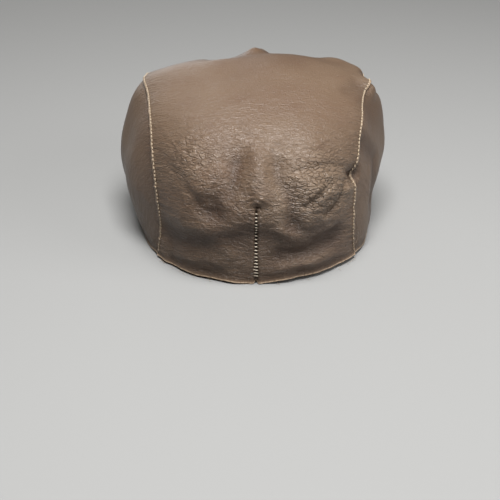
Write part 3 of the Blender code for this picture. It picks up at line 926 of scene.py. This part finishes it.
def dart_tape(finish):
    """The woven tape that backs the dart, under the crown and following its folds."""
    half = TAPE_WIDTH / 2 / BACK_CORNER[0]
    vs = np.linspace(HEM * 2, DART_HEIGHT, 60) / CROWN_LENGTH
    made, u, v = grid("dart_tape_cloth", np.linspace(-half, half, 15), vs)
    rest, normals = shell.surface(u, v)
    draw = np.minimum(broad_relief(rest), 0.0020) - 0.0022
    points = rest + normals * (draw - SIDE_DEPTH)[:, None]
    form(made, points)
    thing = piece(made, [finish], ["dart_tape"], LINING_CLOTH)


def crown_front_stitches(finish):
    u = np.linspace(-0.86, 0.86, 300)
    v = np.full(300, 1 - 0.003 / (2.8 * RIM_HALF_LENGTH))
    points, normals, _ = leather(u, v)
    stitch_row("crown_front_stitches", points, normals, finish, "crown_front_thread")


# ---------------------------------------------------------------- visor

def visor_point(u, v, depth):
    """depth is how far below the visor's top surface. v runs from 0 at the rear edge to 1 where the lip
    begins and 2 at the leading edge, where the upper and lower covers come together."""
    a = np.abs(u)
    front = crown_front(a * VISOR_END_SHARE)
    middle = xyz(0.0 * a, FRONT_CORNER[1] * 0.5, front[..., 2])
    out = unit(front - middle)
    lead = front + out * (CROWN_FRONT_SETBACK * (1 - a**3))[..., None]
    end_angle = math.degrees(math.atan2(FRONT_CORNER[1], VISOR_END_X * 1.02)) - 4.5
    rear = headband(lerp(-90.0, end_angle, a), np.full_like(a, BAND_INSET - 2 * GAP))
    lip = lead - out * VISOR_LIP
    inner, outer = np.clip(v, 0.0, 1.0)[..., None], np.clip(v - 1, 0.0, 1.0)[..., None]
    p = lerp(lerp(rear, lip, inner), lead, outer)
    stack = 2 * VISOR_LEATHER + VISOR_BOARD + 2 * GAP
    pressed = lerp(stack / 2 - VISOR_LEATHER, stack / 2 + GAP, depth / stack)
    lowered = lerp(depth, pressed, ease(v - 1))
    return xyz(np.copysign(p[..., 0], u), p[..., 1], visor_top(p[..., 0], p[..., 1]) - lowered)


def visor_cover(name, depth, finishes, node, lift):
    """A leather cover of the visor, depth below its top; lift is the share of its crinkles that shows."""
    vs = np.concatenate((np.linspace(0.0, 1.0, 46)[:-1], np.linspace(1.0, 2.0, 10)))
    made, u, v = grid(name, np.linspace(-1.0, 1.0, 131), vs)
    points = visor_point(u, v, depth)
    crinkle = ripple(points, (0.010, 0.006, 0.006), 17.0) * 0.00016 + ripple(points, 0.028, 19.0) * 0.0003
    points[:, 2] += crinkle * lift * ease((2.0 - v) / 0.6)
    marks = {name: np.zeros(len(u)) for name in ("slack", "near_seam", "hollow", "worked")}
    marks["near_seam"] = ease((v - 1.2) / 0.8) * 0.4
    marks["cut_edge"] = ease((v - 1.9) / 0.1) * 0.6
    form(made, points, (points[:, 0], points[:, 1] + 0.1), marks)
    thing = piece(made, finishes, [node], VISOR_LEATHER)


def visor_edge_stitches(finish):
    u = np.linspace(-0.84, 0.84, 300)
    points = visor_point(u, np.full(300, 1.0), 0.0)
    stitch_row("visor_edge_stitches", points, xyz(0.0 * u, 0.0, 1.0), finish, "visor_edge_thread")


# ---------------------------------------------------------------- inside

def sweatband(finishes, stitch):
    """The band inside the headband, open by a hair at the back, where the join strip covers it."""
    end = 0.25
    around = np.linspace(90.0 + end, 450.0 - end, 361)
    made, angle, z = grid("sweatband_leather", around, np.linspace(0.0, 1.0, 15))
    height = BAND_LIFT + z * BAND_HEIGHT
    place = headband(angle, 0.0 * angle, height)
    sway = ripple(place, (0.030, 0.030, 0.050), 71.0) * 0.0006 * z
    sway += ripple(place, (0.009, 0.009, 0.02), 73.0) * 0.00012
    points = headband(angle, BAND_INSET + 0.0004 * z + sway, height)
    points[:, 2] += ripple(place, 0.02, 75.0) * 0.0004 * z
    form(made, points, (np.radians(angle - 270.0) * 0.08, height))
    thing = piece(made, finishes, ["sweatband"], BAND_LEATHER)
    sewn = np.linspace(92.0, 448.0, 900)
    inset = np.full(900, BAND_INSET + BAND_LEATHER)
    row = headband(sewn, inset, BAND_LIFT + BAND_STITCH_RISE)
    inward = unit(headband(sewn, inset + 0.001) - headband(sewn, inset))
    stitch_row("sweatband_stitches", row, inward, stitch, "sweatband_thread", 0.0036, 0.0026)


def satin(word, us, vs, at, finish):
    """A panel of the lining: at gives its points, normals and how far it follows the leather's folds."""
    made, u, v = grid("lining_satin_" + word, us, vs)
    points, normals, follow = at(u, v)
    settle = broad_relief(shell.surface(u, v)[0]) * follow * ease((points[:, 2] - 0.003) / 0.012)
    soft = ripple(points, (0.024, 0.018, 0.02), 91.0) * 0.0007
    soft += ripple(points, (0.007, 0.012, 0.012), 95.0) * 0.0002
    calm = ease(v / 0.06) * ease((1 - v) / 0.06)
    points = points + normals * (settle - (0.0009 + soft) * calm)[:, None]
    form(made, points, ((np.abs(u) - 0.5) * 0.08 * np.sign(u), v * CROWN_LENGTH - RUN_MIDDLE))
    thing = piece(made, [finish], ["lining_" + word], LINING_CLOTH)


def lining(finish):
    split = GAP / BACK_CORNER[0]
    first = HEM / (3 * RIM_HALF_LENGTH)

    def under_crown(u, v):
        inner, inner_normals = lining_shell.surface(u, v)
        outer, outer_normals = shell.surface(u, v)
        share = (ease((np.abs(u) - 1 + LAP_SHARE) / (LAP_SHARE - split)) * (v < 0.999))[:, None]
        normals = unit(lerp(inner_normals, outer_normals, share))
        follow = 1 - ease((v - 0.74) / 0.16)
        return lerp(inner, outer, share) - normals * LINING_DEPTH, normals, follow

    def under_side(u, v):
        points, normals = shell.surface(u, v)
        return points - normals * LINING_DEPTH, normals, np.ones_like(v)

    rows = np.linspace(first, 1.0, 150)
    satin("centre", np.linspace(split - 1, 1 - split, 90), rows, under_crown, finish)
    for word, side in SIDES:
        us = side * np.linspace(1 + split, 2.0, 40)
        satin(word, us, rows[:-6], under_side, finish)


def size_tab(finish):
    half, middle = math.degrees(0.009 / RIM_HALF_LENGTH), 62.0
    across = np.linspace(middle - half, middle + half, 25)
    made, angle, z = grid("size_tab_cloth", across, np.linspace(0.016, 0.044, 33))
    curl = 0.0006 * ease((z - 0.032) / 0.012) * np.cos((angle - middle) / half * 1.4)
    points = headband(angle, BAND_INSET - GAP - LINING_CLOTH - curl, z)
    form(made, points)
    thing = piece(made, [finish], ["size_tab"], LINING_CLOTH)


FIBRE_ANGLES = [56, 57.5, 60, 63, 46, 45, 43.5, 52, 70, 112, 134, 135.5, 137, 138.5, 128, 99]


def rim_fibres(finish):
    """Loose fibres of the cut leather and thread ends along the rim."""
    hairs = bpy.data.curves.new("rim_fibres", "CURVE")
    hairs.dimensions = "3D"
    hairs.bevel_depth = 0.00011
    hairs.bevel_resolution = 1
    hairs.use_fill_caps = True
    for k, angle in enumerate(FIBRE_ANGLES):
        base = headband(angle, 0.0003, 0.0012)
        out = unit(headband(angle, -0.001) - headband(angle, 0.0))
        along = np.cross(np.array([0.0, 0.0, 1.0]), out)
        reach = 0.0016 + 0.0022 * abs(noise.noise(Vector((k * 3.1, 2.0, 5.0))))
        lean = noise.noise(Vector((k * 5.3, 8.0, 1.0))) * 2.2
        line = hairs.splines.new("POLY")
        line.points.add(5)
        for step, point in enumerate(line.points):
            t = step / 5
            bow = out * (reach * t) + along * (reach * lean * t * t)
            bow[2] += 0.0004 * math.sin(t * 3 + k)
            point.co = (*(base + bow), 1.0)
    hairs.materials.append(finish)
    thing = placed("rim_fibres", hairs)
    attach(thing, "root")


# ---------------------------------------------------------------- stage

SEEN_FLOOR = (0.33, 0.33, 0.325, 1.0)
LIGHTING_FLOOR = (0.075, 0.062, 0.050, 1.0)


def floor():
    """Pale where it is seen, directly or in a reflection, and dark in the light that it gives back."""
    f = Finish("pale_floor")
    rays = f.node("ShaderNodeLightPath").outputs
    seen = f.math("MAXIMUM", rays["Is Camera Ray"], rays["Is Glossy Ray"])
    seen = f.math("MAXIMUM", seen, rays["Is Transmission Ray"])
    colour = f.blend(seen, LIGHTING_FLOOR, SEEN_FLOOR)
    finish = f.done(colour, 0.95, Specular_IOR_Level=0.0)
    made = bpy.data.meshes.new("floor")
    work = bmesh.new()
    bmesh.ops.create_grid(work, x_segments=1, y_segments=1, size=40.0)
    work.to_mesh(made)
    work.free()
    made.materials.append(finish)
    thing = placed("floor", made)


def lamp(name, place, aim, size, watts):
    light = bpy.data.lights.new(name, "AREA")
    light.size = size
    light.energy = watts
    thing = placed(name, light)
    thing.location = place
    thing.rotation_euler = (Vector(aim) - Vector(place)).to_track_quat("-Z", "Y").to_euler()


def studio():
    world = bpy.data.worlds.new("soft_room")
    bpy.context.scene.world = world
    world.use_nodes = True
    glow = world.node_tree.nodes["Background"].inputs
    glow["Color"].default_value = (1.0, 0.95, 0.88, 1.0)
    glow["Strength"].default_value = 0.10
    lamp("overhead_soft_light", (-0.04, 0.46, 1.27), (0.0, 0.0, 0.08), 0.6, 29.5)
    lamp("front_soft_light", (0.6, -1.6, 0.45), (0.0, 0.0, 0.04), 1.0, 5.0)
    lamp("side_soft_light", (-1.3, 0.6, 0.8), (0.0, 0.0, 0.06), 0.8, 8.0)


def camera():
    """Behind the cap, looking down on its dart."""
    eye = bpy.data.cameras.new("camera")
    eye.lens = 64.8
    eye.sensor_width = 36.0
    eye.clip_start = 0.01
    thing = placed("camera", eye)
    distance, middle_height = 0.72, 0.062
    rise, dip, aside = math.radians(24.5), math.radians(30.84), math.radians(0.45)
    thing.location = (0.0, distance * math.cos(rise), middle_height + distance * math.sin(rise))
    thing.rotation_euler = (math.radians(90) - dip, 0.0, math.radians(180) + aside)
    bpy.context.scene.camera = thing


def main():
    bpy.context.scene.view_settings.view_transform = "Standard"
    camera()
    studio()
    floor()
    creased = leather_finish("creased_brown_leather")
    smooth = leather_finish("smooth_brown_leather", creased=False)
    suede, cut, tan = suede_finish(), raw_edge_finish(), thread_finish()
    crown_leather([creased, suede, cut])
    for word, side in SIDES:
        side_leather(word, side, [smooth, suede, cut])
        seam_stitches(word, side, tan)
    dart_lacing(thread_finish("pale_lacing_thread", srgb(232, 218, 196)))
    dart_tape(woven_finish("black_woven_tape", srgb(44, 42, 40)))
    crown_front_stitches(tan)
    visor_cover("visor_top_leather", 0.0, [smooth, suede, cut], "visor_top_cover", 1.0)
    lower = VISOR_LEATHER + VISOR_BOARD + 2 * GAP
    visor_cover("visor_bottom_leather", lower, [suede, smooth, cut], "visor_bottom_cover", 0.0)
    visor_edge_stitches(tan)
    band = band_finish()
    sweatband([band, band, cut], tan)
    lining(satin_finish("bronze_satin", srgb(116, 92, 66)))
    size_tab(woven_finish("blank_cream_cloth", srgb(206, 198, 180)))
    rim_fibres(thread_finish("leather_fibres", srgb(196, 178, 152)))
    for node, finish in (("visor_board", board_finish()), ("sweatband_join", band)):
        for spot in bpy.data.objects[node].material_slots:
            spot.material = finish


main()
